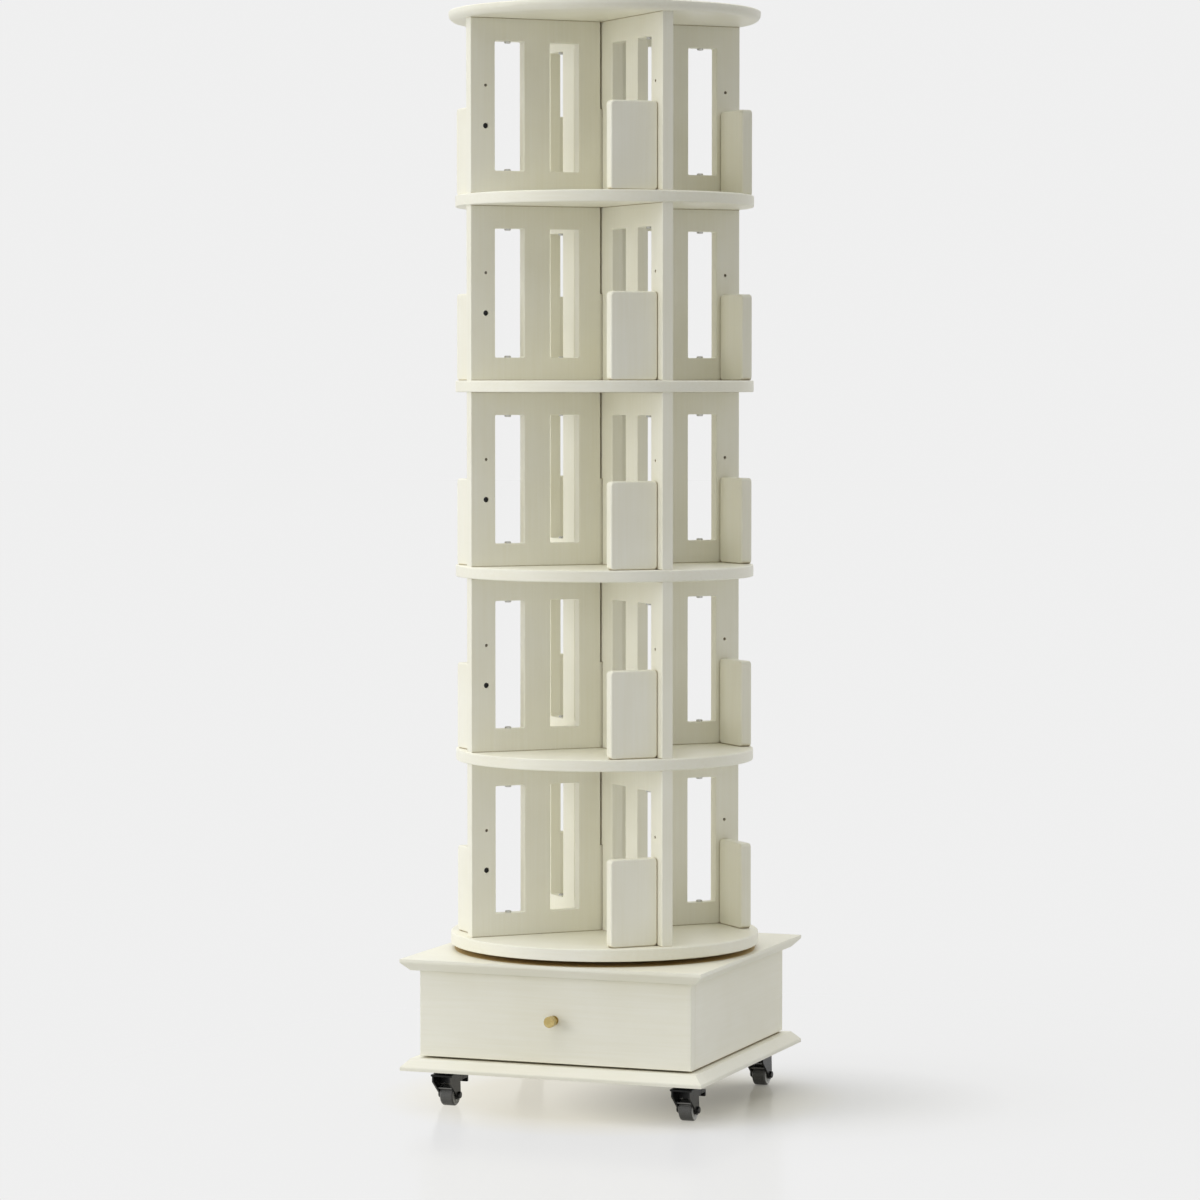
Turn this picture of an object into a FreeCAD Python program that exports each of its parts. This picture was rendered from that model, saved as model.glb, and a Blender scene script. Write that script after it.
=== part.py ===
"""Rotating media tower: five tiers of slotted cross boards on a drawer base with casters.

The frame has +Z up and its origin on the floor below the tower's axis. The drawer faces -Y.
The tower is drawn with its boards along X and Y and stands turned on its base by tower_rest_angle.
"""
import FreeCAD
import Part
import Sketcher
import os
import re

TIERS = 5
QUARTERS = 4
RING_SCREWS = 6
BALLS = 24

SIZES = {
    # Casters
    "wheel_radius": 16,
    "wheel_width": 20,
    "wheel_tread_radius": 2.5,
    "wheel_hub_radius": 6.5,
    "wheel_rim_radius": 12.5,
    "wheel_recess": 1.5,
    "wheel_top_gap": 14.5,
    "wheel_side_gap": 1.5,
    "wheel_trail": 15,
    "axle_radius": 3,
    "axle_head_radius": 5,
    "axle_head_height": 3,
    "fork_leg_thickness": 2.5,
    "fork_foot_radius": 7,
    "fork_ear_radius": 5,
    "fork_shoulder": 8,
    "web_trail": 8,
    "web_gap": 1,
    "crown_thickness": 2.5,
    "crown_length": 40,
    "crown_width": 33,
    "crown_corner": 2,
    "swivel_clearance": 0.3,
    "running_clearance": 0.06,
    "race_radius": 15,
    "race_height": 8.2,
    "kingpin_radius": 4,
    "kingpin_head_radius": 7,
    "kingpin_head_height": 2,
    "caster_plate_side": 44,
    "caster_plate_thickness": 2.5,
    "caster_plate_corner": 5,
    "caster_screw_inset": 5.5,
    "brake_pivot_trail": 25,
    "brake_pivot_drop": 6.5,
    "brake_pin_radius": 2,
    "brake_barrel_radius": 4,
    "brake_side_gap": 0.3,
    "brake_nose_length": 9.4,
    "brake_nose_thickness": 3,
    "brake_nose_width": 12,
    "brake_reach": 29,
    "brake_tip_drop": 4,
    "brake_lip_height": 10,
    "brake_lip_thickness": 4,
    "brake_pedal_start": 8,
    "brake_pedal_width": 26,
    "brake_edge_radius": 1,
    "caster_inset_x": 46,
    "caster_inset_y": 64,
    # Base
    "base_plate_side": 460,
    "base_plate_thickness": 17,
    "moulding_bevel": 12,
    "moulding_round": 4,
    "plate_overhang": 22.5,
    "case_height": 128,
    "panel_thickness": 17,
    "panel_edge_radius": 1,
    "shadow_gap": 3,
    "shadow_depth": 5,
    "case_screw_inset": 100,
    # Drawer
    "drawer_front_gap": 0.5,
    "drawer_top_gap": 1.2,
    "drawer_side_thickness": 14,
    "drawer_side_height": 92,
    "drawer_side_gap": 6,
    "drawer_rear_gap": 26,
    "drawer_floor_gap": 6,
    "drawer_bottom_thickness": 5,
    "runner_height": 14,
    "runner_width": 12,
    "runner_rear_gap": 18,
    "runner_above_floor": 50,
    "runner_clearance": 0.3,
    "runner_side_clearance": 0.5,
    "knob_radius": 8,
    "knob_length": 12,
    "knob_neck_radius": 5,
    "knob_neck_length": 9,
    "knob_foot_radius": 7,
    "knob_foot_height": 2,
    "knob_edge_radius": 1.5,
    "knob_thread_depth": 14,
    # Turning bearing
    "bearing_height": 8,
    "ring_thickness": 2.5,
    "ring_inner_radius": 80,
    "ring_outer_radius": 120,
    "ball_track_radius": 100,
    "ball_radius": 2.5,
    "ball_clearance": 0.1,
    "cage_thickness": 1.2,
    "cage_half_width": 6,
    "lower_ring_screw_radius": 87,
    "upper_ring_screw_radius": 113,
    # Tower
    "tower_rest_angle": 45,
    "top_disc_radius": 227.5,
    "turntable_radius": 226,
    "shelf_radius": 218,
    "disc_thickness": 18,
    "top_disc_thickness": 15,
    "top_moulding_radius": 10,
    "shelf_thickness": 17,
    "disc_edge_radius": 2,
    "board_length": 431,
    "board_height": 252,
    "board_thickness": 17,
    "board_edge_radius": 1.2,
    "slot_width": 46,
    "slot_from_axis": 45,
    "slot_stile": 40.5,
    "slot_rail": 33,
    "slot_corner_radius": 2,
    "notch_clearance": 2,
    "stop_length": 73,
    "stop_thickness": 17,
    "stop_setback": 15,
    "stop_corner_radius": 6,
    "stop_edge_radius": 2.5,
    "stop_hole_rise": 29,
    # Screws
    "screw_hole_clearance": 0.15,
    "slot_screw_radius": 2,
    "slot_screw_head_radius": 4.8,
    "slot_screw_head_height": 2.8,
    "slot_screw_bite": 7,
    "stop_screw_radius": 2.1,
    "stop_screw_head_radius": 3.9,
    "stop_screw_head_height": 2.6,
    "stop_screw_bite": 22,
    "stop_screw_recess": 4.5,
    "ring_screw_radius": 1.6,
    "ring_screw_head_radius": 3,
    "ring_screw_head_height": 1.3,
    "ring_screw_bite": 12,
    "caster_screw_radius": 1.8,
    "caster_screw_head_radius": 3.4,
    "caster_screw_head_height": 1.6,
    "caster_screw_bite": 12,
    "case_screw_radius": 2.2,
    "case_screw_head_radius": 4.2,
    "case_screw_head_height": 2.5,
    "case_screw_recess": 5,
    "case_screw_bite": 28,
    "knob_screw_radius": 2,
    "knob_screw_head_radius": 4.2,
    "knob_screw_head_height": 2.4,
    "screw_tip_gap": 0.5,
    "recess_reach_share": 0.6,
    "recess_width_share": 0.11,
    "recess_depth_share": 0.55,
}

LEVELS = {
    # Heights that follow from the sizes above, from the floor up
    "crown_base": "=2 * wheel_radius + wheel_top_gap",
    "crown_top": "=crown_base + crown_thickness",
    "race_base": "=crown_top + swivel_clearance",
    "caster_plate_base": "=race_base + race_height",
    "base_bottom_level": "=caster_plate_base + caster_plate_thickness",
    "case_base": "=base_bottom_level + base_plate_thickness",
    "case_top": "=case_base + case_height",
    "base_top_level": "=case_top + base_plate_thickness",
    "turntable_base": "=base_top_level + bearing_height",
    "tower_base": "=turntable_base + disc_thickness",
    "tier_pitch": "=board_height + shelf_thickness",
    "tower_top": f"=tower_base + {TIERS} * tier_pitch - shelf_thickness",
    # Places across the base, the case and the drawer
    "caster_spread_x": "=base_plate_side / 2 - caster_inset_x",
    "caster_spread_y": "=base_plate_side / 2 - caster_inset_y",
    "case_side": "=base_plate_side - 2 * plate_overhang",
    "case_front": "=-case_side / 2",
    "case_inner": "=case_side / 2 - panel_thickness",
    "panel_front": "=case_front + panel_thickness + drawer_front_gap",
    "drawer_outer": "=case_inner - drawer_side_gap",
    "drawer_inner": "=drawer_outer - drawer_side_thickness",
    "drawer_length": "=2 * case_inner - drawer_rear_gap",
    "runner_length": "=2 * case_inner - runner_rear_gap",
    "drawer_back_face": "=case_front + panel_thickness",
    "drawer_end": "=drawer_back_face + drawer_length",
    "drawer_base": "=case_base + drawer_floor_gap",
    "drawer_side_base": "=drawer_base + drawer_bottom_thickness",
    "front_base": "=case_base + shadow_gap",
    "front_height": "=case_height - shadow_gap - drawer_top_gap",
    "knob_level": "=front_base + front_height / 2",
    "runner_base": "=case_base + runner_above_floor",
    "groove_base": "=runner_base - runner_clearance",
    "groove_height": "=runner_height + 2 * runner_clearance",
    "groove_depth": "=runner_width - drawer_side_gap + runner_side_clearance",
    # Places along the boards
    "outer_slot_start": "=slot_from_axis + slot_width + slot_stile",
    "slot_screw_place": "=outer_slot_start + slot_width / 2",
    "stop_height": "=board_height / 2",
    "stop_outer_face": "=board_length / 2 - stop_setback",
    "stop_hole_place": "=stop_outer_face - stop_thickness / 2",
    "stop_screw_height": "=board_height / 2 - stop_hole_rise",
    # Caster fork and brake
    "fork_inner_width": "=wheel_width + 2 * wheel_side_gap",
    "fork_outer_width": "=fork_inner_width + 2 * fork_leg_thickness",
    "brake_pivot_level": "=crown_base - brake_pivot_drop",
    "brake_barrel_width": "=fork_inner_width - 2 * brake_side_gap",
    "brake_tip": "=brake_pivot_trail + brake_reach",
    "brake_tip_top": "=brake_pivot_level + brake_barrel_radius - brake_tip_drop",
}

doc = FreeCAD.newDocument("media_tower")
sheet = doc.addObject("Spreadsheet::Sheet", "Sizes")
NAMED = {**SIZES, **LEVELS}
for row, (alias, amount) in enumerate(NAMED.items(), start=1):
    sheet.set(f"A{row}", alias)
    sheet.set(f"B{row}", str(amount))
    sheet.setAlias(f"B{row}", alias)
doc.recompute()

Vector = FreeCAD.Vector
UP = Vector(0, 0, 1)
ACROSS = Vector(1, 0, 0)
INWARD = Vector(0, 1, 0)
pieces = []


def expression(text):
    """The text with every named size pointed at its cell."""
    def qualify(match):
        word = match.group(0)
        return "Sizes." + word if word in NAMED else word
    return re.sub(r"[A-Za-z_]\w*", qualify, text)


def measure(text):
    """The present value of a sum of named sizes, in millimetres or degrees."""
    return float(sheet.evalExpression(text))


def bind(thing, **sums):
    for name, text in sums.items():
        thing.setExpression(name, expression(text))


def place(thing, x="0", y="0", z="0", angle="0"):
    """Bind a piece's place, and its turn about the vertical."""
    for name, text in (("Base.x", x), ("Base.y", y), ("Base.z", z), ("Rotation.Angle", angle)):
        if text != "0":
            thing.setExpression("Placement." + name, expression(text))


def keep(thing, label):
    """Mark a finished piece for writing under its own label."""
    thing.Label = label
    pieces.append(thing)
    return thing


# Sketches and features of a body

def new_body(name):
    return doc.addObject("PartDesign::Body", name)


def sketch_on(body, role, offset="0"):
    """A sketch on one of the body's own origin planes, moved along the plane's normal by the offset."""
    sketch = body.newObject("Sketcher::SketchObject", "outline")
    plane = next(feature for feature in body.Origin.OriginFeatures if feature.Role == role)
    sketch.AttachmentSupport = [(plane, "")]
    sketch.MapMode = "FlatFace"
    if offset != "0":
        sketch.setExpression("AttachmentOffset.Base.z", expression(offset))
    return sketch


def pin_point(sketch, curve, point, x, y):
    """Hold one point of a sketch curve at named distances from the sketch's origin."""
    for kind, axis, text in (("DistanceX", -2, x), ("DistanceY", -1, y)):
        if text == "0":
            sketch.addConstraint(Sketcher.Constraint("PointOnObject", curve, point, axis))
            continue
        distance = Sketcher.Constraint(kind, -1, 1, curve, point, measure(text))
        number = sketch.addConstraint(distance)
        sketch.setExpression(f"Constraints[{number}]", expression(text))


def add_polygon(sketch, corners):
    """A closed outline through corners that are pairs of named sums."""
    first = sketch.GeometryCount
    count = len(corners)
    spots = [Vector(measure(x), measure(y), 0) for x, y in corners]
    for k in range(count):
        sketch.addGeometry(Part.LineSegment(spots[k], spots[(k + 1) % count]), False)
    for k in range(count):
        follower = first + (k + 1) % count
        sketch.addConstraint(Sketcher.Constraint("Coincident", first + k, 2, follower, 1))
    for k, (x, y) in enumerate(corners):
        pin_point(sketch, first + k, 1, x, y)


def add_rectangle(sketch, x0, y0, x1, y1):
    add_polygon(sketch, [(x0, y0), (x1, y0), (x1, y1), (x0, y1)])


def add_circle(sketch, x, y, radius):
    spot = Vector(measure(x), measure(y), 0)
    number = sketch.addGeometry(Part.Circle(spot, UP, measure(radius)), False)
    pin_point(sketch, number, 3, x, y)
    size = sketch.addConstraint(Sketcher.Constraint("Radius", number, measure(radius)))
    sketch.setExpression(f"Constraints[{size}]", expression(radius))


def pad(body, sketch, length, symmetric=False):
    feature = body.newObject("PartDesign::Pad", "pad")
    feature.Profile = sketch
    feature.Midplane = symmetric
    bind(feature, Length=length)
    doc.recompute()
    return feature


def check_cut(body, before):
    """A cut that points away from the solid removes nothing, so the volumes are compared."""
    doc.recompute()
    if not body.Shape.Volume < before:
        raise ValueError(f"a cut in {body.Name} removes nothing")


def pocket(body, sketch, depth="", symmetric=False, flipped=False):
    """Cut the sketch into the body: to a depth, or right through when no depth is given."""
    before = body.Shape.Volume
    feature = body.newObject("PartDesign::Pocket", "pocket")
    feature.Profile = sketch
    feature.Midplane = symmetric
    feature.Reversed = flipped
    if depth:
        bind(feature, Length=depth)
    else:
        feature.Type = "ThroughAll"
    check_cut(body, before)
    return feature


def revolve(body, sketch, axis):
    feature = body.newObject("PartDesign::Revolution", "turning")
    feature.Profile = sketch
    feature.ReferenceAxis = (sketch, [axis])
    doc.recompute()
    return feature


def groove(body, sketch, axis):
    before = body.Shape.Volume
    feature = body.newObject("PartDesign::Groove", "groove")
    feature.Profile = sketch
    feature.ReferenceAxis = (sketch, [axis])
    check_cut(body, before)
    return feature


def fillet(body, radius, wanted):
    """Round the edges of the body that the wanted test picks."""
    base = body.Tip
    names = [f"Edge{k}" for k, edge in enumerate(base.Shape.Edges, start=1) if wanted(edge)]
    feature = body.newObject("PartDesign::Fillet", "rounding")
    feature.Base = (base, names)
    bind(feature, Radius=radius)
    doc.recompute()
    return feature


def bevel(body, size, wanted):
    """Cut an even bevel along the edges of the body that the wanted test picks."""
    base = body.Tip
    names = [f"Edge{k}" for k, edge in enumerate(base.Shape.Edges, start=1) if wanted(edge)]
    feature = body.newObject("PartDesign::Chamfer", "bevel")
    feature.Base = (base, names)
    bind(feature, Size=size)
    doc.recompute()
    return feature


# Tests that pick edges

NEAR = 1e-4


def runs_along(direction):
    """Picks straight edges parallel to a direction."""
    def test(edge):
        if not isinstance(edge.Curve, Part.Line):
            return False
        return edge.Curve.Direction.cross(direction).Length < NEAR
    return test


def lies_at(axis, text):
    """Picks edges that lie whole in the plane where the axis coordinate has the named value."""
    def test(edge):
        level = measure(text)
        spots = [vertex.Point for vertex in edge.Vertexes] + [edge.CenterOfMass]
        return all(abs(spot.dot(axis) - level) < NEAR for spot in spots)
    return test


def either(first, second):
    return lambda edge: first(edge) or second(edge)


# Groups of equal solids

def copies(label, master, spots, z="0", angle="0"):
    """One piece that holds a copy of the master's solid at every spot."""
    solids = []
    for spot in spots:
        solid = master.Shape.copy()
        solid.Placement = spot.multiply(solid.Placement)
        solids.append(solid)
    group = doc.addObject("Part::Feature", label)
    group.Shape = Part.makeCompound(solids)
    place(group, z=z, angle=angle)
    return keep(group, label)


def spot_at(x, y, z, flipped=False, turn=0):
    """A place for one copy, flipped end for end about X first, then turned about the vertical axis."""
    flip = FreeCAD.Rotation(ACROSS, 180 if flipped else 0)
    move = FreeCAD.Placement(Vector(x, y, z), flip)
    return FreeCAD.Placement(Vector(0, 0, 0), FreeCAD.Rotation(UP, turn)).multiply(move)


def around(count, radius, z, flipped=False):
    """Even spots on a circle about the vertical axis."""
    return [spot_at(radius, 0, z, flipped, k * 360 / count) for k in range(count)]


def screw(name, length):
    """A pan-head screw with a cross recess: its head stands on z = 0 and its shank points down.

    Sizes follow its name.
    """
    body = new_body(name)
    profile = sketch_on(body, "XZ_Plane")
    add_polygon(profile, [
        ("0", f"-({length})"),
        (f"{name}_radius", f"-({length}) + {name}_radius"),
        (f"{name}_radius", "0"),
        (f"{name}_head_radius", "0"),
        (f"{name}_head_radius", f"{name}_head_height"),
        ("0", f"{name}_head_height"),
    ])
    revolve(body, profile, "V_Axis")
    fillet(body, f"{name}_head_height / 2", lies_at(UP, f"{name}_head_height"))
    cross = sketch_on(body, "XY_Plane", f"{name}_head_height")
    reach = f"{name}_head_radius * recess_reach_share"
    half = f"{name}_head_radius * recess_width_share"
    add_polygon(cross, [(half, half), (reach, half), (reach, f"-{half}"), (half, f"-{half}"),
                        (half, f"-{reach}"), (f"-{half}", f"-{reach}"), (f"-{half}", f"-{half}"),
                        (f"-{reach}", f"-{half}"), (f"-{reach}", half), (f"-{half}", half),
                        (f"-{half}", reach), (half, reach)])
    pocket(body, cross, f"{name}_head_height * recess_depth_share")
    return body


# Tower: discs and shelves

HOLE_PLACES = [("slot_screw_place", "0"), ("-slot_screw_place", "0"),
               ("0", "slot_screw_place"), ("0", "-slot_screw_place")]


def round_board(label, radius, thickness, level):
    """A plain round board on its own foot plane."""
    body = new_body(label)
    profile = sketch_on(body, "XZ_Plane")
    add_rectangle(profile, "0", "0", radius, thickness)
    revolve(body, profile, "V_Axis")
    place(body, z=level, angle="tower_rest_angle")
    return keep(body, label)


def screw_holes(body, level, flipped):
    """Blind holes for the screws of the boards on one face of a round board."""
    sketch = sketch_on(body, "XY_Plane", level)
    for x, y in HOLE_PLACES:
        add_circle(sketch, x, y, "slot_screw_radius + screw_hole_clearance")
    pocket(body, sketch, "slot_screw_bite + screw_tip_gap", flipped=flipped)


def make_discs():
    for k in range(1, TIERS):
        level = f"tower_base + {k} * tier_pitch - shelf_thickness"
        shelf = round_board(f"shelf_{k}", "shelf_radius", "shelf_thickness", level)
        fillet(shelf, "disc_edge_radius", either(lies_at(UP, "0"), lies_at(UP, "shelf_thickness")))
        screw_holes(shelf, "0", flipped=True)
        screw_holes(shelf, "shelf_thickness", flipped=False)
    top = round_board("top_disc", "top_disc_radius", "top_disc_thickness", "tower_top")
    fillet(top, "top_moulding_radius", lies_at(UP, "0"))
    fillet(top, "disc_edge_radius", lies_at(UP, "top_disc_thickness"))
    screw_holes(top, "0", flipped=True)
    turntable = round_board("turntable_disc", "turntable_radius", "disc_thickness", "turntable_base")
    fillet(turntable, "disc_edge_radius", either(lies_at(UP, "0"), lies_at(UP, "disc_thickness")))
    screw_holes(turntable, "disc_thickness", flipped=False)
    ring_holes = sketch_on(turntable, "XY_Plane")
    add_circle(ring_holes, "upper_ring_screw_radius", "0", "ring_screw_radius + screw_hole_clearance")
    hole = pocket(turntable, ring_holes, "ring_screw_bite + screw_tip_gap", flipped=True)
    repeat_around(turntable, hole, RING_SCREWS)


def repeat_around(body, feature, count):
    """Repeat a cut evenly about the body's vertical axis."""
    before = body.Shape.Volume
    pattern = body.newObject("PartDesign::PolarPattern", "pattern")
    pattern.Originals = [feature]
    vertical = next(axis for axis in body.Origin.OriginFeatures if axis.Role == "Z_Axis")
    pattern.Axis = (vertical, [""])
    pattern.Angle = 360
    pattern.Occurrences = count
    body.Tip = pattern
    check_cut(body, before)


# Tower: cross boards and stops

def cross_board(label, level, notched_above):
    """A slotted board across the whole tower, halved at its middle to cross its partner."""
    body = new_body(label)
    outline = sketch_on(body, "XZ_Plane")
    end = "board_length / 2"
    cheek = "(board_thickness / 2 + notch_clearance)"
    if notched_above:
        corners = [("-" + end, "0"), (end, "0"), (end, "board_height"), (cheek, "board_height"),
                   (cheek, "board_height / 2"), ("-" + cheek, "board_height / 2"),
                   ("-" + cheek, "board_height"), ("-" + end, "board_height")]
    else:
        corners = [("-" + end, "0"), ("-" + cheek, "0"), ("-" + cheek, "board_height / 2"),
                   (cheek, "board_height / 2"), (cheek, "0"), (end, "0"),
                   (end, "board_height"), ("-" + end, "board_height")]
    add_polygon(outline, corners)
    pad(body, outline, "board_thickness", symmetric=True)
    slots = sketch_on(body, "XZ_Plane")
    for start in ("slot_from_axis", "outer_slot_start"):
        for side in ("", "-"):
            near = f"{side}{start}"
            far = f"{side}({start} + slot_width)"
            add_rectangle(slots, near, "slot_rail", far, "board_height - slot_rail")
    pocket(body, slots, symmetric=True)
    round_slots(body)
    face = either(lies_at(INWARD, "board_thickness / 2"), lies_at(INWARD, "-board_thickness / 2"))
    fillet(body, "board_edge_radius", face)
    drill_board(body)
    angle = "tower_rest_angle" if notched_above else "tower_rest_angle + 90"
    place(body, z=level, angle=angle)
    return keep(body, label)


def round_slots(body):
    """Round the four corners of every slot."""
    def corner(edge):
        if not runs_along(INWARD)(edge):
            return False
        spot = edge.CenterOfMass
        inside = measure("slot_from_axis") - NEAR < abs(spot.x) < measure("board_length / 2") - NEAR
        return inside and NEAR < spot.z < measure("board_height") - NEAR
    fillet(body, "slot_corner_radius", corner)


def drill_board(body):
    """Holes for the rail screws, and at each end an open hole above the recessed hole of the stop's screw."""
    rails = sketch_on(body, "XY_Plane")
    for side in ("", "-"):
        add_circle(rails, side + "slot_screw_place", "0", "slot_screw_radius + screw_hole_clearance")
    pocket(body, rails, flipped=True)
    ends = sketch_on(body, "XZ_Plane")
    for side in ("", "-"):
        for height in ("stop_screw_height", "board_height - stop_screw_height"):
            add_circle(ends, side + "stop_hole_place", height, "stop_screw_radius + screw_hole_clearance")
    pocket(body, ends, symmetric=True)
    for side, face, flipped in (("-", "board_thickness / 2", False), ("", "-board_thickness / 2", True)):
        recess = sketch_on(body, "XZ_Plane", face)
        radius = "stop_screw_head_radius + screw_hole_clearance"
        add_circle(recess, side + "stop_hole_place", "stop_screw_height", radius)
        pocket(body, recess, "stop_screw_recess", flipped=flipped)


def make_boards():
    for k in range(1, TIERS + 1):
        level = f"tower_base + {k - 1} * tier_pitch"
        cross_board(f"tier_{k}_lower_board", level, notched_above=True)
        cross_board(f"tier_{k}_upper_board", level, notched_above=False)


def make_stop():
    """One stop as it stands at the end of the board that points along -X, on the board's +Y face."""
    body = new_body("stop")
    outline = sketch_on(body, "YZ_Plane", "-stop_outer_face")
    add_rectangle(outline, "board_thickness / 2", "0", "board_thickness / 2 + stop_length", "stop_height")
    pad(body, outline, "stop_thickness")
    fillet(body, "stop_corner_radius", runs_along(ACROSS))
    inner = lies_at(ACROSS, "stop_thickness - stop_outer_face")
    fillet(body, "stop_edge_radius", either(lies_at(ACROSS, "-stop_outer_face"), inner))
    hole = sketch_on(body, "XZ_Plane", "-board_thickness / 2")
    add_circle(hole, "-stop_hole_place", "stop_screw_height", "stop_screw_radius + screw_hole_clearance")
    pocket(body, hole, "stop_screw_bite + screw_tip_gap")
    return body


def make_stops():
    stop = make_stop()
    quarter_spots = [spot_at(0, 0, 0, turn=k * 360 / QUARTERS) for k in range(QUARTERS)]
    for k in range(1, TIERS + 1):
        level = f"tower_base + {k - 1} * tier_pitch"
        copies(f"tier_{k}_stops", stop, quarter_spots, z=level, angle="tower_rest_angle")


def make_tower_screws():
    master = screw("slot_screw", "slot_rail + slot_screw_bite")
    reach = measure("slot_screw_place")
    spots = []
    for k in range(TIERS):
        foot = measure(f"tower_base + {k} * tier_pitch")
        spots += around(QUARTERS, reach, foot + measure("slot_rail"))
        spots += around(QUARTERS, reach, foot + measure("board_height - slot_rail"), flipped=True)
    copies("slot_screws", master, spots, angle="tower_rest_angle")
    make_stop_screws()


def make_stop_screws():
    """Each screw lies level: its head in the board's recess, its point in the edge of the stop."""
    master = screw("stop_screw", "board_thickness - stop_screw_recess + stop_screw_bite")
    lay = FreeCAD.Rotation(ACROSS, 90)
    seat = measure("stop_screw_recess - board_thickness / 2")
    spots = []
    for k in range(TIERS):
        height = measure(f"tower_base + {k} * tier_pitch + stop_screw_height")
        lying = FreeCAD.Placement(Vector(-measure("stop_hole_place"), seat, height), lay)
        for quarter in range(QUARTERS):
            spots.append(spot_at(0, 0, 0, turn=quarter * 360 / QUARTERS).multiply(lying))
    copies("stop_screws", master, spots, angle="tower_rest_angle")


# Turning bearing

def bearing_ring(label, screw_circle, level, track):
    """A flat ring with a ball track in the face towards the other ring."""
    body = new_body(label)
    profile = sketch_on(body, "XZ_Plane")
    add_rectangle(profile, "ring_inner_radius", "0", "ring_outer_radius", "ring_thickness")
    revolve(body, profile, "V_Axis")
    path = sketch_on(body, "XZ_Plane")
    add_circle(path, "ball_track_radius", track, "ball_radius + ball_clearance")
    groove(body, path, "V_Axis")
    holes = sketch_on(body, "XY_Plane")
    add_circle(holes, screw_circle, "0", "ring_screw_radius + screw_hole_clearance")
    hole = pocket(body, holes, flipped=True)
    repeat_around(body, hole, RING_SCREWS)
    place(body, z=level)
    return keep(body, label)


def make_bearing():
    middle = "bearing_height / 2"
    bearing_ring("bearing_lower_ring", "lower_ring_screw_radius", "base_top_level", middle)
    upper_level = "turntable_base - ring_thickness"
    upper = bearing_ring("bearing_upper_ring", "upper_ring_screw_radius", upper_level, f"ring_thickness - {middle}")
    place(upper, angle="tower_rest_angle")
    cage = new_body("ball_cage")
    ring = sketch_on(cage, "XY_Plane")
    add_circle(ring, "0", "0", "ball_track_radius + cage_half_width")
    add_circle(ring, "0", "0", "ball_track_radius - cage_half_width")
    pad(cage, ring, "cage_thickness", symmetric=True)
    window = sketch_on(cage, "XY_Plane")
    add_circle(window, "ball_track_radius", "0", "ball_radius + ball_clearance")
    repeat_around(cage, pocket(cage, window, symmetric=True), BALLS)
    place(cage, z=f"base_top_level + {middle}")
    keep(cage, "ball_cage")
    ball = doc.addObject("Part::Sphere", "ball")
    bind(ball, Radius="ball_radius")
    doc.recompute()
    copies("bearing_balls", ball, around(BALLS, measure("ball_track_radius"), 0), z=f"base_top_level + {middle}")
    ring_screw = screw("ring_screw", "ring_thickness + ring_screw_bite")
    lower_spots = around(RING_SCREWS, measure("lower_ring_screw_radius"), measure("ring_thickness"))
    copies("lower_ring_screws", ring_screw, lower_spots, z="base_top_level")
    upper_spots = around(RING_SCREWS, measure("upper_ring_screw_radius"), 0, flipped=True)
    copies("upper_ring_screws", ring_screw, upper_spots, z=upper_level, angle="tower_rest_angle")


# Base case

SIDES = (("left", -1), ("right", 1))
CORNERS = (("front_left", -1, -1), ("front_right", 1, -1), ("back_left", -1, 1), ("back_right", 1, 1))


def moulded_plate(label, level, moulded_face, lip):
    """A square plate bevelled on the face towards the case, down to a thin lip with a rounded edge."""
    body = new_body(label)
    outline = sketch_on(body, "XY_Plane")
    edge = "base_plate_side / 2"
    add_rectangle(outline, "-" + edge, "-" + edge, edge, edge)
    pad(body, outline, "base_plate_thickness")
    bevel(body, "moulding_bevel", lies_at(UP, moulded_face))
    fillet(body, "moulding_round", lies_at(UP, lip))
    place(body, z=level)
    return keep(body, label)


def case_screw_places():
    """Two screws below each side panel and two below the back panel, as pairs of named sums."""
    middle = "(case_side / 2 - panel_thickness / 2)"
    along = "(case_side / 2 - case_screw_inset)"
    spots = [(f"{x}{middle}", f"{y}{along}") for x in ("-", "") for y in ("-", "")]
    return spots + [(f"{x}{along}", middle) for x in ("-", "")]


def caster_places():
    return [(sx * measure("caster_spread_x"), sy * measure("caster_spread_y")) for _, sx, sy in CORNERS]


def make_base_plates():
    lip = "base_plate_thickness - moulding_bevel"
    bottom = moulded_plate("base_bottom", "base_bottom_level", "base_plate_thickness", lip)
    holes = sketch_on(bottom, "XY_Plane")
    inset = "(caster_plate_side / 2 - caster_screw_inset)"
    for x in ("-caster_spread_x", "caster_spread_x"):
        for y in ("-caster_spread_y", "caster_spread_y"):
            for dx in ("-", "+"):
                for dy in ("-", "+"):
                    radius = "caster_screw_radius + screw_hole_clearance"
                    add_circle(holes, f"{x} {dx} {inset}", f"{y} {dy} {inset}", radius)
    pocket(bottom, holes, "caster_screw_bite + screw_tip_gap", flipped=True)
    through = sketch_on(bottom, "XY_Plane")
    recess = sketch_on(bottom, "XY_Plane")
    for x, y in case_screw_places():
        add_circle(through, x, y, "case_screw_radius + screw_hole_clearance")
        add_circle(recess, x, y, "case_screw_head_radius + screw_hole_clearance")
    pocket(bottom, through, flipped=True)
    pocket(bottom, recess, "case_screw_recess", flipped=True)
    top = moulded_plate("base_top", "case_top", "0", "moulding_bevel")
    ring = sketch_on(top, "XY_Plane", "base_plate_thickness")
    add_circle(ring, "lower_ring_screw_radius", "0", "ring_screw_radius + screw_hole_clearance")
    hole = pocket(top, ring, "ring_screw_bite + screw_tip_gap")
    repeat_around(top, hole, RING_SCREWS)


def case_screw_holes(body, spots):
    holes = sketch_on(body, "XY_Plane")
    for x, y in spots:
        add_circle(holes, x, y, "case_screw_radius + screw_hole_clearance")
    pocket(body, holes, "case_screw_bite + screw_tip_gap", flipped=True)


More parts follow.
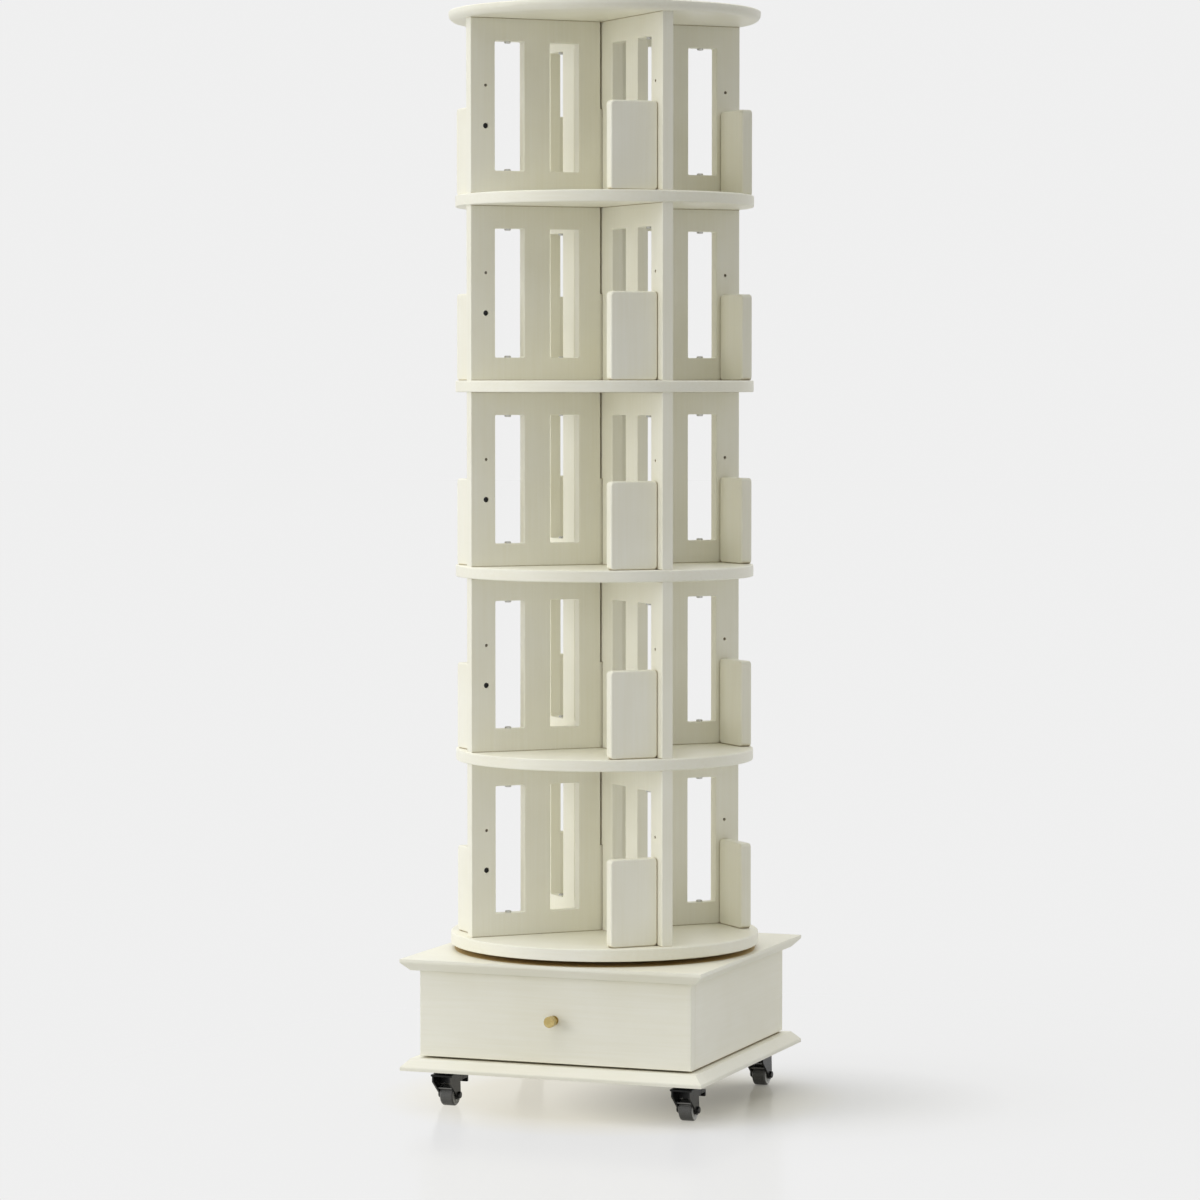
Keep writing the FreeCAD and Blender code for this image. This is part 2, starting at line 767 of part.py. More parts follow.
def make_case_panels():
    """Side and back panels, each with a low rebate outside that leaves a dark line above the base."""
    outer = "case_side / 2"
    spots = case_screw_places()
    for number, (side, sign) in enumerate(SIDES):
        mark = "-" if sign < 0 else ""
        body = new_body(f"{side}_side")
        outline = sketch_on(body, "XZ_Plane", f"-{outer}")
        inside = f"{mark}case_inner"
        ledge = f"{mark}({outer} - shadow_depth)"
        skin = f"{mark}{outer}"
        add_polygon(outline, [(inside, "0"), (ledge, "0"), (ledge, "shadow_gap"), (skin, "shadow_gap"),
                              (skin, "case_height"), (inside, "case_height")])
        pad(body, outline, f"{outer} - panel_front")
        case_screw_holes(body, spots[2 * number:2 * number + 2])
        place(body, z="case_base")
        keep(body, f"{side}_side")
    back = new_body("back_panel")
    outline = sketch_on(back, "YZ_Plane")
    add_polygon(outline, [("case_inner", "0"), (f"{outer} - shadow_depth", "0"),
                          (f"{outer} - shadow_depth", "shadow_gap"), (outer, "shadow_gap"),
                          (outer, "case_height"), ("case_inner", "case_height")])
    pad(back, outline, "2 * case_inner", symmetric=True)
    case_screw_holes(back, spots[4:])
    place(back, z="case_base")
    keep(back, "back_panel")
    master = screw("case_screw", "base_plate_thickness - case_screw_recess + case_screw_bite")
    seat = measure("base_bottom_level + case_screw_recess")
    copies("case_screws", master, [spot_at(measure(x), measure(y), seat, True) for x, y in spots])


# Drawer

def block(label, size, corner):
    """A plain board as a box of named sizes with its lowest corner at a named place."""
    box = doc.addObject("Part::Box", label)
    bind(box, Length=size[0], Width=size[1], Height=size[2])
    place(box, *corner)
    return box


def cut_away(label, base, tool):
    cut = doc.addObject("Part::Cut", label)
    cut.Base = base
    cut.Tool = tool
    doc.recompute()
    return keep(cut, label)


def make_drawer_box():
    side_size = ("drawer_side_thickness", "drawer_length", "drawer_side_height")
    groove_size = ("groove_depth", "drawer_length", "groove_height")
    runner_size = ("runner_width", "runner_length", "runner_height")
    for side, sign in SIDES:
        left = sign < 0
        side_x = "-drawer_outer" if left else "drawer_inner"
        board = block(f"{side}_blank", side_size, (side_x, "drawer_back_face", "drawer_side_base"))
        slot_x = "-drawer_outer" if left else "drawer_outer - groove_depth"
        slot = block(f"{side}_groove", groove_size, (slot_x, "drawer_back_face", "groove_base"))
        cut_away(f"drawer_{side}_side", board, slot)
        rail_x = "-case_inner" if left else "case_inner - runner_width"
        rail = block(f"drawer_{side}_runner", runner_size, (rail_x, "panel_front", "runner_base"))
        keep(rail, f"drawer_{side}_runner")
    back_size = ("2 * drawer_inner", "drawer_side_thickness", "drawer_side_height")
    back_corner = ("-drawer_inner", "drawer_end - drawer_side_thickness", "drawer_side_base")
    keep(block("drawer_back", back_size, back_corner), "drawer_back")
    floor_size = ("2 * drawer_outer", "drawer_length", "drawer_bottom_thickness")
    floor_corner = ("-drawer_outer", "drawer_back_face", "drawer_base")
    keep(block("drawer_bottom", floor_size, floor_corner), "drawer_bottom")


def make_drawer_front():
    front = new_body("drawer_front")
    outline = sketch_on(front, "XZ_Plane", "-case_front")
    add_rectangle(outline, "case_front", "0", "-case_front", "front_height")
    pad(front, outline, "panel_thickness").Reversed = True
    doc.recompute()
    fillet(front, "panel_edge_radius", lies_at(INWARD, "case_front"))
    hole = sketch_on(front, "XZ_Plane", "-case_front")
    add_circle(hole, "0", "front_height / 2", "knob_screw_radius + screw_hole_clearance")
    pocket(front, hole)
    place(front, z="front_base")
    keep(front, "drawer_front")


def make_knob():
    """The knob is turned about the vertical and laid level, its face to the front."""
    knob = new_body("drawer_knob")
    profile = sketch_on(knob, "XZ_Plane")
    neck_end = "knob_neck_length"
    face = "knob_neck_length + knob_length"
    add_polygon(profile, [("0", "0"), ("knob_foot_radius", "0"), ("knob_foot_radius", "knob_foot_height"),
                          ("knob_neck_radius", "knob_foot_height"), ("knob_neck_radius", neck_end),
                          ("knob_radius", neck_end), ("knob_radius", face), ("0", face)])
    revolve(knob, profile, "V_Axis")
    fillet(knob, "knob_edge_radius", either(lies_at(UP, face), rim_of("knob_radius", neck_end)))
    thread = sketch_on(knob, "XY_Plane")
    add_circle(thread, "0", "0", "knob_screw_radius + screw_hole_clearance")
    pocket(knob, thread, "knob_thread_depth + screw_tip_gap", flipped=True)
    lay_level(knob, "case_front")
    keep(knob, "drawer_knob")
    master = screw("knob_screw", "panel_thickness + knob_thread_depth")
    lay_level(master, "drawer_back_face", facing_back=True)
    keep(master, "knob_screw")


def rim_of(radius, level):
    """Picks the round edge of one radius at one level."""
    def test(edge):
        if not lies_at(UP, level)(edge) or not isinstance(edge.Curve, Part.Circle):
            return False
        return abs(edge.Curve.Radius - measure(radius)) < NEAR
    return test


def lay_level(body, plane, facing_back=False):
    """Lay an upright turned piece level at the drawer front's centre, with its foot on a plane."""
    angle = -90 if facing_back else 90
    body.Placement = FreeCAD.Placement(Vector(0, 0, 0), FreeCAD.Rotation(ACROSS, angle))
    place(body, y=plane, z="knob_level")


# Casters

def make_caster_plates():
    """Mounting plate, bearing race and kingpin, riveted into one piece, as it hangs below the base."""
    body = new_body("caster_plate")
    half = "caster_plate_side / 2"
    outline = sketch_on(body, "XY_Plane", "caster_plate_base")
    add_rectangle(outline, "-" + half, "-" + half, half, half)
    pad(body, outline, "caster_plate_thickness")
    fillet(body, "caster_plate_corner", runs_along(UP))
    for radius, foot, top in (("race_radius", "race_base", "caster_plate_base"),
                              ("kingpin_radius", "crown_base - swivel_clearance", "race_base"),
                              ("kingpin_head_radius", "crown_base - swivel_clearance - kingpin_head_height",
                               "crown_base - swivel_clearance")):
        ring = sketch_on(body, "XY_Plane", foot)
        add_circle(ring, "0", "0", radius)
        pad(body, ring, f"{top} - ({foot})")
    holes = sketch_on(body, "XY_Plane", "caster_plate_base")
    inset = f"({half} - caster_screw_inset)"
    for x in ("-", ""):
        for y in ("-", ""):
            add_circle(holes, x + inset, y + inset, "caster_screw_radius + screw_hole_clearance")
    pocket(body, holes, flipped=True)
    copies("caster_plates", body, [spot_at(x, y, 0) for x, y in caster_places()])
    master = screw("caster_screw", "caster_plate_thickness + caster_screw_bite")
    reach = measure(f"{half} - caster_screw_inset")
    seat = measure("caster_plate_base")
    spots = [spot_at(x + dx * reach, y + dy * reach, seat, True)
             for x, y in caster_places() for dx in (-1, 1) for dy in (-1, 1)]
    copies("caster_screws", master, spots)


def make_fork(label, has_brake):
    """A pressed fork: flat crown under the plate, two tapering legs that trail behind the kingpin.

    A web above the wheel ties the legs together. On a caster with a brake each leg has an ear that
    carries the brake's pivot.
    """
    body = new_body(label)
    legs = sketch_on(body, "YZ_Plane")
    half = "crown_length / 2"
    add_polygon(legs, [("-" + half, "crown_top"), ("-" + half, "crown_base - fork_shoulder"),
                       ("wheel_trail - fork_foot_radius", "wheel_radius"),
                       ("wheel_trail + fork_foot_radius", "wheel_radius"),
                       (half, "crown_base"), (half, "crown_top")])
    pad(body, legs, "fork_outer_width", symmetric=True)
    feet = sketch_on(body, "YZ_Plane")
    add_circle(feet, "wheel_trail", "wheel_radius", "fork_foot_radius")
    pad(body, feet, "fork_outer_width", symmetric=True)
    if has_brake:
        ears = sketch_on(body, "YZ_Plane")
        add_circle(ears, "brake_pivot_trail", "brake_pivot_level", "fork_ear_radius")
        pad(body, ears, "fork_outer_width", symmetric=True)
    throat = sketch_on(body, "XZ_Plane")
    inner = "fork_inner_width / 2"
    add_rectangle(throat, "-" + inner, "0", inner, "crown_base")
    pocket(body, throat, symmetric=True)
    web = sketch_on(body, "YZ_Plane")
    add_rectangle(web, "web_trail", "2 * wheel_radius + web_gap", "web_trail + crown_thickness", "crown_base")
    pad(body, web, "fork_outer_width", symmetric=True)
    crown = sketch_on(body, "XY_Plane", "crown_base")
    wide = "crown_width / 2"
    add_rectangle(crown, "-" + wide, "-" + half, wide, half)
    pad(body, crown, "crown_thickness")

    def corner(edge):
        return runs_along(UP)(edge) and abs(abs(edge.CenterOfMass.x) - measure(wide)) < NEAR
    fillet(body, "crown_corner", corner)
    eye = sketch_on(body, "XY_Plane", "crown_base")
    add_circle(eye, "0", "0", "kingpin_radius + running_clearance")
    pocket(body, eye, flipped=True)
    hole = sketch_on(body, "YZ_Plane")
    add_circle(hole, "wheel_trail", "wheel_radius", "axle_radius + running_clearance")
    if has_brake:
        add_circle(hole, "brake_pivot_trail", "brake_pivot_level", "brake_pin_radius + running_clearance")
    pocket(body, hole, symmetric=True)
    return body


def make_brake(label):
    """A foot brake behind the wheel: trunnions in the fork's ears, a pedal, and a nose that bears on the tread."""
    body = new_body(label)
    for radius, width in (("brake_pin_radius", "fork_outer_width"), ("brake_barrel_radius", "brake_barrel_width")):
        round_part = sketch_on(body, "YZ_Plane")
        add_circle(round_part, "brake_pivot_trail", "brake_pivot_level", radius)
        pad(body, round_part, width, symmetric=True)
    nose = sketch_on(body, "YZ_Plane")
    half = "brake_nose_thickness / 2"
    add_rectangle(nose, f"brake_pivot_trail - {half}", "brake_pivot_level - brake_nose_length",
                  f"brake_pivot_trail + {half}", "brake_pivot_level")
    pad(body, nose, "brake_nose_width", symmetric=True)
    lip = "brake_tip - brake_lip_thickness"
    underside = "brake_tip_top - brake_lip_thickness"
    for start, width in (("brake_pivot_trail", "brake_barrel_width"),
                         ("brake_pivot_trail + brake_pedal_start", "brake_pedal_width")):
        share = f"(({start}) - brake_pivot_trail) / brake_reach"
        top = f"brake_pivot_level + brake_barrel_radius - brake_tip_drop * {share}"
        arm = sketch_on(body, "YZ_Plane")
        add_polygon(arm, [(start, underside), (start, top), ("brake_tip", "brake_tip_top"),
                          ("brake_tip", "brake_tip_top - brake_lip_height"),
                          (lip, "brake_tip_top - brake_lip_height"), (lip, underside)])
        pad(body, arm, width, symmetric=True)
    end = either(lies_at(ACROSS, "brake_pedal_width / 2"), lies_at(ACROSS, "-brake_pedal_width / 2"))
    fillet(body, "brake_edge_radius", end)
    return body


def make_wheel(label):
    """A moulded wheel about the X axis: rounded tread, recessed sides and a bored hub."""
    body = new_body(label)
    profile = sketch_on(body, "XZ_Plane")
    half = "wheel_width / 2"
    floor = f"({half} - wheel_recess)"
    bore = "axle_radius + running_clearance"
    right = [(half, bore), (half, "wheel_hub_radius"), (floor, "wheel_hub_radius"), (floor, "wheel_rim_radius"),
             (half, "wheel_rim_radius"), (half, "wheel_radius")]
    left = [("-" + x, z) for x, z in reversed(right)]
    add_polygon(profile, right + left)
    revolve(body, profile, "H_Axis")

    def tread(edge):
        return isinstance(edge.Curve, Part.Circle) and abs(edge.Curve.Radius - measure("wheel_radius")) < NEAR
    fillet(body, "wheel_tread_radius", tread)
    return body


def make_axle(label):
    """A bolt through both fork legs, with a round head at one end and a round nut at the other."""
    body = new_body(label)
    profile = sketch_on(body, "XZ_Plane")
    half = "fork_outer_width / 2"
    tip = f"({half} + axle_head_height)"
    add_polygon(profile, [("-" + tip, "0"), (tip, "0"), (tip, "axle_head_radius"), (half, "axle_head_radius"),
                          (half, "axle_radius"), ("-" + half, "axle_radius"), ("-" + half, "axle_head_radius"),
                          ("-" + tip, "axle_head_radius")])
    revolve(body, profile, "H_Axis")
    fillet(body, "axle_head_height / 3", either(lies_at(ACROSS, tip), lies_at(ACROSS, "-" + tip)))
    return body


def make_casters():
    make_caster_plates()
    for corner, sx, sy in CORNERS:
        x = "caster_spread_x" if sx > 0 else "-caster_spread_x"
        y = "caster_spread_y" if sy > 0 else "-caster_spread_y"
        in_front = sy < 0
        fork = make_fork(f"{corner}_fork", has_brake=in_front)
        place(fork, x, y)
        keep(fork, f"{corner}_fork")
        if in_front:
            brake = make_brake(f"{corner}_brake")
            place(brake, x, y)
            keep(brake, f"{corner}_brake")
        for make, name in ((make_wheel, "wheel"), (make_axle, "axle")):
            turned = make(f"{corner}_{name}")
            place(turned, x, f"{y} + wheel_trail", "wheel_radius")
            keep(turned, f"{corner}_{name}")


def check_and_write():
    """Stop on any failed object, then write every piece under its label."""
    doc.recompute()
    failed = [thing.Label for thing in doc.Objects if {"Invalid", "Error"} & set(thing.State)]
    failed += [piece.Label for piece in pieces if piece.Shape.isNull() or not piece.Shape.isValid()]
    if failed:
        raise ValueError("these failed: " + ", ".join(failed))
    os.makedirs("parts", exist_ok=True)
    for piece in pieces:
        piece.Shape.exportStep(f"parts/{piece.Label}.step")
    print(len(pieces), "pieces, tower top at", measure("tower_top + top_disc_thickness"), "mm")


make_discs()
make_boards()
make_stops()
make_tower_screws()
make_bearing()
make_base_plates()
make_case_panels()
make_drawer_box()
make_drawer_front()
make_knob()
make_casters()
check_and_write()
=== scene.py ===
# %% [markdown]
# A rotating media tower, dressed in Blender.
# The joinery comes from the CAD frame: round shelves, slotted cross boards, a drawer base and casters.
# This lesson gives that frame its paint, wood and metal, and adds the small turned parts of its casters.
# A finished model could also be drawn by hand in the viewport, but a script runs again around a new frame.

# %% Load the frame
import math

import bmesh
import bpy
from mathutils import Matrix, Vector


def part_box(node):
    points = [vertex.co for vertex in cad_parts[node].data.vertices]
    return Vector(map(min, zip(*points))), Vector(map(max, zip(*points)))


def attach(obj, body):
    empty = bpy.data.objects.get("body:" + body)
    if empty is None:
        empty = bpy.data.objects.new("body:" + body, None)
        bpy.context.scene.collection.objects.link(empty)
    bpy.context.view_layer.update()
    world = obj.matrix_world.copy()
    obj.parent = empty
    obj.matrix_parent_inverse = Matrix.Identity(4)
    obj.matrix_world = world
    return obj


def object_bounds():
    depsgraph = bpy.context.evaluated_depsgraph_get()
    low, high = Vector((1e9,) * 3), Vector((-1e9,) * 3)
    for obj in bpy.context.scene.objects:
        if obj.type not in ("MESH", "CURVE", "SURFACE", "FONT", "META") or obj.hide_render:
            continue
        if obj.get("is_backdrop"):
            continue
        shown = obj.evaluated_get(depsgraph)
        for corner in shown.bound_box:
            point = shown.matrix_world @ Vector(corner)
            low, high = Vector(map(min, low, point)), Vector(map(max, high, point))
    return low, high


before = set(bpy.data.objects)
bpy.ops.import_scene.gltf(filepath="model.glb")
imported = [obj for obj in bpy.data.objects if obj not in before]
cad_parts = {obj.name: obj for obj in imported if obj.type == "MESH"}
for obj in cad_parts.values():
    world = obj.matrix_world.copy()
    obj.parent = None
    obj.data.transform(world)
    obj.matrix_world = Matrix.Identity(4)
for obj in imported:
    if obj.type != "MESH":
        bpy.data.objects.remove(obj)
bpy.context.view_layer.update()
MM = 0.001

# %% [markdown]
# The camera comes first, because every later choice is judged through it.
# A long lens from six metres keeps the round shelves almost flat, as in a catalogue picture.
# The camera could aim itself with a constraint, but a few plain numbers are easier to read and to change.

# %% Camera
CAMERA_DISTANCE = 6.212
CAMERA_HEIGHT = 1.051
CAMERA_AZIMUTH = math.radians(20.443)
CAMERA_TILT = math.radians(2.927)
CAMERA_YAW = math.radians(0.063)
SENSOR_WIDTH, FOCAL_LENGTH = 36, 127.2
camera_data = bpy.data.cameras.new("catalogue_camera")
camera_data.sensor_width = SENSOR_WIDTH
camera_data.lens = FOCAL_LENGTH
camera = bpy.data.objects.new("catalogue_camera", camera_data)
camera.location = (CAMERA_DISTANCE * math.sin(CAMERA_AZIMUTH),
                   -CAMERA_DISTANCE * math.cos(CAMERA_AZIMUTH), CAMERA_HEIGHT)
camera.rotation_euler = (math.pi / 2 - CAMERA_TILT, 0, CAMERA_AZIMUTH + CAMERA_YAW)
bpy.context.scene.collection.objects.link(camera)
bpy.context.scene.camera = camera
print("camera at", [round(value, 2) for value in camera.location])

# %% [markdown]
# The light is a plain studio. It starts with a white room that is brighter behind the tower: its light comes in
# through the slots, so the bins don't go grey.
# The room could be built from many lamps, but a world colour fills every bin evenly and gives no hot spots.
# Rays from the camera see a pale grey wall in place of the room's light, and so do mirror-like metals.

# %% Room light
WALL_GREY = 0.867
ROOM_DIM, ROOM_BRIGHT = 0.12, 1.10
BRIGHT_SIDE = (-0.3, 0.8, 0.52)
scene = bpy.context.scene
scene.view_settings.view_transform = "Standard"
world = bpy.data.worlds.new("studio_room")
scene.world = world
world.use_nodes = True
room = world.node_tree
room.nodes.clear()


def add(tree, kind, inputs=None, **settings):
    """Add a node, set its own settings by name and its sockets from a dictionary."""
    node = tree.nodes.new(kind)
    for name, value in settings.items():
        setattr(node, name, value)
    for name, value in (inputs or {}).items():
        node.inputs[name].default_value = value
    return node


def seen_directly(tree):
    """A socket that is 1 for rays from the camera, a mirror or clear glass, and 0 for lighting rays."""
    path = add(tree, "ShaderNodeLightPath")
    mirror = add(tree, "ShaderNodeMath", operation="MAXIMUM")
    tree.links.new(path.outputs["Is Camera Ray"], mirror.inputs[0])
    tree.links.new(path.outputs["Is Glossy Ray"], mirror.inputs[1])
    clear = add(tree, "ShaderNodeMath", operation="MAXIMUM")
    tree.links.new(mirror.outputs[0], clear.inputs[0])
    tree.links.new(path.outputs["Is Transmission Ray"], clear.inputs[1])
    return clear.outputs[0]


wall = add(room, "ShaderNodeBackground", {"Color": (WALL_GREY, WALL_GREY, WALL_GREY, 1), "Strength": 1})
fill = add(room, "ShaderNodeBackground", {"Color": (1, 1, 1, 1)})
outward = add(room, "ShaderNodeTexCoord")
towards = add(room, "ShaderNodeVectorMath", {1: BRIGHT_SIDE}, operation="DOT_PRODUCT")
level = add(room, "ShaderNodeMapRange",
            {"From Min": -1, "From Max": 1, "To Min": ROOM_DIM, "To Max": ROOM_BRIGHT})
room.links.new(outward.outputs["Generated"], towards.inputs[0])
room.links.new(towards.outputs["Value"], level.inputs["Value"])
room.links.new(level.outputs["Result"], fill.inputs["Strength"])
choice = add(room, "ShaderNodeMixShader")
room_out = add(room, "ShaderNodeOutputWorld")
room.links.new(seen_directly(room), choice.inputs["Fac"])
room.links.new(fill.outputs[0], choice.inputs[1])
room.links.new(wall.outputs[0], choice.inputs[2])
room.links.new(choice.outputs[0], room_out.inputs["Surface"])
print("room light from", ROOM_DIM, "to", ROOM_BRIGHT, "and a wall of", WALL_GREY)

# %% [markdown]
# Three soft boxes give the boards their shape: a high and a low one on the left, and a weak one in front that
# reaches the backs of the bins.
# A sun lamp would show the shape too, but its hard shadows would cut across the slots.
# The boxes are hidden from the camera and from mirrors, so that no white square stands behind the tower when it
# is seen from the back.

# %% Soft boxes
LAMP_AIM = Vector((0, 0, 0.8))


def soft_box(name, azimuth, elevation, distance, size, watts):
    """A square lamp that looks at the tower's middle. Azimuth 0 is the front, and minus is to the left."""
    data = bpy.data.lights.new(name, "AREA")
    data.shape = "SQUARE"
    data.size = size
    data.energy = watts
    lamp = bpy.data.objects.new(name, data)
    turn, rise = math.radians(azimuth), math.radians(elevation)
    back = Vector((math.sin(turn) * math.cos(rise), -math.cos(turn) * math.cos(rise), math.sin(rise)))
    lamp.location = LAMP_AIM + back * distance
    lamp.rotation_euler = back.to_track_quat("Z", "Y").to_euler()
    lamp.visible_camera = False
    lamp.visible_glossy = False
    scene.collection.objects.link(lamp)
    print(name, "of", size, "m at", [round(value, 1) for value in lamp.location])


soft_box("soft_box_above", azimuth=-37, elevation=65, distance=4, size=3, watts=50)
soft_box("soft_box_left", azimuth=-46, elevation=10, distance=5, size=3, watts=64)
soft_box("soft_box_front", azimuth=6, elevation=8, distance=5, size=2, watts=9)

# %% [markdown]
# The floor is a pale sheet that runs to the horizon. One large disc does it, and its rim is too far off to show.
# A curved backdrop would hide the rim too, but it would also stand in the way of views from behind.

# %% Floor sheet
FLOOR_RADIUS, FLOOR_SIDES = 40, 96
sheet = bmesh.new()
bmesh.ops.create_circle(sheet, cap_ends=True, segments=FLOOR_SIDES, radius=FLOOR_RADIUS)
floor_mesh = bpy.data.meshes.new("floor")
sheet.to_mesh(floor_mesh)
sheet.free()
floor = bpy.data.objects.new("floor", floor_mesh)
scene.collection.objects.link(floor)
floor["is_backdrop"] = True
print("floor of", FLOOR_RADIUS, "m radius")

# %% [markdown]
# Near the tower the paper takes shadow and mirrors the casters a little, and a warmer tone is painted in there,
# which stands for the light that the paint bounces below the base. Far away it fades into the wall's own grey, so
# no edge shows.
# Stronger lamps would keep the floor pale as well, but they would wash out the tower. So the paper glows a little
# by itself. The glow is weakest beside the tower, on the side away from the soft boxes, and so the shadow stays
# soft in front and deep where it falls.
# Each tone changes with the distance from a point, and the named reaches say where it starts and ends, in metres.

# %% Floor paper
PAPER_NEAR, PAPER_FAR = 2.2, 3.8
# The warm tones near the tower, seen and glowing, are painted bounce light from the paint below the base.
PAPER_SEEN, PAPER_WARM_BOUNCE, SEEN_REACH = (0.80, 0.80, 0.79, 1), (0.80, 0.775, 0.67, 1), (0.22, 0.36)
PAPER_LIGHT, PAPER_DARK = (0.70, 0.70, 0.695, 1), (0.12, 0.12, 0.12, 1)
# Below the base the paper bounces a darker colour up to the tower: painted shade under the base.
PAPER_UNDER_SHADE, UNDER_REACH = (0.30, 0.29, 0.26, 1), (0.28, 0.48)
WALL_TONE = (WALL_GREY, WALL_GREY, WALL_GREY, 1)
WARM_BOUNCE_TONE, WARM_REACH = (0.86, 0.825, 0.72, 1), (0.20, 0.34)
SHADE_SPOT = (0.26, 0.06, 0)
GLOW_SHARES = ((0.06, 0.05), (0.14, 0.18), (0.25, 0.52), (0.34, 0.80), (0.50, 0.90), (1.7, 1.0))
MIRROR_SHARE, MIRROR_BLUR = 0.11, 0.16
paper = bpy.data.materials.new("studio_paper")
paper.use_nodes = True
tree = paper.node_tree
tree.nodes.clear()


def by_reach(stops, point=(0, 0, 0)):
    """A colour by the distance from a point on the floor, given as pairs of distance and colour."""
    place = add(tree, "ShaderNodeTexCoord")
    reach = add(tree, "ShaderNodeVectorMath", {1: point}, operation="DISTANCE")
    reach_share = add(tree, "ShaderNodeMath", {1: PAPER_FAR}, operation="DIVIDE")
    ramp = add(tree, "ShaderNodeValToRGB")
    elements = ramp.color_ramp.elements
    while len(elements) < len(stops):
        elements.new(0.5)
    for element, (distance, colour) in zip(elements, stops):
        element.position = distance / PAPER_FAR
        element.color = colour
    tree.links.new(place.outputs["Object"], reach.inputs[0])
    tree.links.new(reach.outputs["Value"], reach_share.inputs[0])
    tree.links.new(reach_share.outputs[0], ramp.inputs["Fac"])
    return ramp.outputs["Color"]


bounce = add(tree, "ShaderNodeBsdfDiffuse")
bounce_stops = ((UNDER_REACH[0], PAPER_UNDER_SHADE), (UNDER_REACH[1], PAPER_LIGHT), (PAPER_NEAR, PAPER_LIGHT),
                (PAPER_FAR, PAPER_DARK))
tree.links.new(by_reach(bounce_stops), bounce.inputs["Color"])
matte = add(tree, "ShaderNodeBsdfDiffuse")
tree.links.new(by_reach(tuple(zip(SEEN_REACH, (PAPER_WARM_BOUNCE, PAPER_SEEN)))), matte.inputs["Color"])
glow = add(tree, "ShaderNodeEmission", {"Strength": 1})
tree.links.new(by_reach(tuple(zip(WARM_REACH, (WARM_BOUNCE_TONE, WALL_TONE)))), glow.inputs["Color"])
seen = add(tree, "ShaderNodeMixShader")
glow_stops = [(distance, (share, share, share, 1)) for distance, share in GLOW_SHARES]
tree.links.new(by_reach(glow_stops, SHADE_SPOT), seen.inputs["Fac"])
tree.links.new(matte.outputs[0], seen.inputs[1])
tree.links.new(glow.outputs[0], seen.inputs[2])
mirror = add(tree, "ShaderNodeBsdfGlossy", {"Color": (1, 1, 1, 1), "Roughness": MIRROR_BLUR})
polished = add(tree, "ShaderNodeMixShader", {"Fac": MIRROR_SHARE})
tree.links.new(seen.outputs[0], polished.inputs[1])
tree.links.new(mirror.outputs[0], polished.inputs[2])
either = add(tree, "ShaderNodeMixShader")
tree.links.new(seen_directly(tree), either.inputs["Fac"])
tree.links.new(bounce.outputs[0], either.inputs[1])
tree.links.new(polished.outputs[0], either.inputs[2])
paper_out = add(tree, "ShaderNodeOutputMaterial")
tree.links.new(either.outputs[0], paper_out.inputs["Surface"])
floor_mesh.materials.append(paper)
print("paper:", len(tree.nodes), "nodes in", paper.name)

# %% [markdown]
# Every finish below is mixed from a few steps: noise in the piece's own space, two tones chosen by it, a range of
# roughness and a little relief. Each step is a small function that adds its nodes and returns a socket.
# Node groups would do the same, but functions keep each material plain for the export.

# %% Steps of a finish
NOISE_LOW, NOISE_HIGH = 0.3, 0.7


def new_material(name):
    material = bpy.data.materials.new(name)
    material.use_nodes = True
    return material, material.node_tree, material.node_tree.nodes["Principled BSDF"]


def stretched_noise(tree, stretch, scale, detail, distortion=0.0):
    """Noise in the object's own space, drawn out along an axis by a small stretch value."""
    spot = add(tree, "ShaderNodeTexCoord")
    mapping = add(tree, "ShaderNodeMapping", {"Scale": stretch})
    noise = add(tree, "ShaderNodeTexNoise", {"Scale": scale, "Detail": detail, "Distortion": distortion})
    tree.links.new(spot.outputs["Object"], mapping.inputs["Vector"])
    tree.links.new(mapping.outputs["Vector"], noise.inputs["Vector"])
    return noise.outputs["Fac"]


def two_tones(tree, share, first, second, low=0.35, high=0.65):
    ramp = add(tree, "ShaderNodeValToRGB")
    ramp.color_ramp.elements[0].position = low
    ramp.color_ramp.elements[0].color = first
    ramp.color_ramp.elements[1].position = high
    ramp.color_ramp.elements[1].color = second
    tree.links.new(share, ramp.inputs["Fac"])
    return ramp.outputs["Color"]


def spread(tree, share, low, high):
    """Move a noise share, which stays near one half, to a range of values."""
    scaled = add(tree, "ShaderNodeMapRange",
                 {"From Min": NOISE_LOW, "From Max": NOISE_HIGH, "To Min": low, "To Max": high})
    tree.links.new(share, scaled.inputs["Value"])
    return scaled.outputs["Result"]


def blend_shares(tree, first, second, weight):
    mixed = add(tree, "ShaderNodeMix", {"Factor": weight}, data_type="FLOAT")
    tree.links.new(first, mixed.inputs["A"])
    tree.links.new(second, mixed.inputs["B"])
    return mixed.outputs["Result"]


def bump(tree, shader, share, strength, depth):
    relief = add(tree, "ShaderNodeBump", {"Strength": strength, "Distance": depth})
    tree.links.new(share, relief.inputs["Height"])
    tree.links.new(relief.outputs["Normal"], shader.inputs["Normal"])


print("a noise share from", NOISE_LOW, "to", NOISE_HIGH, "is spread over a finish's range")
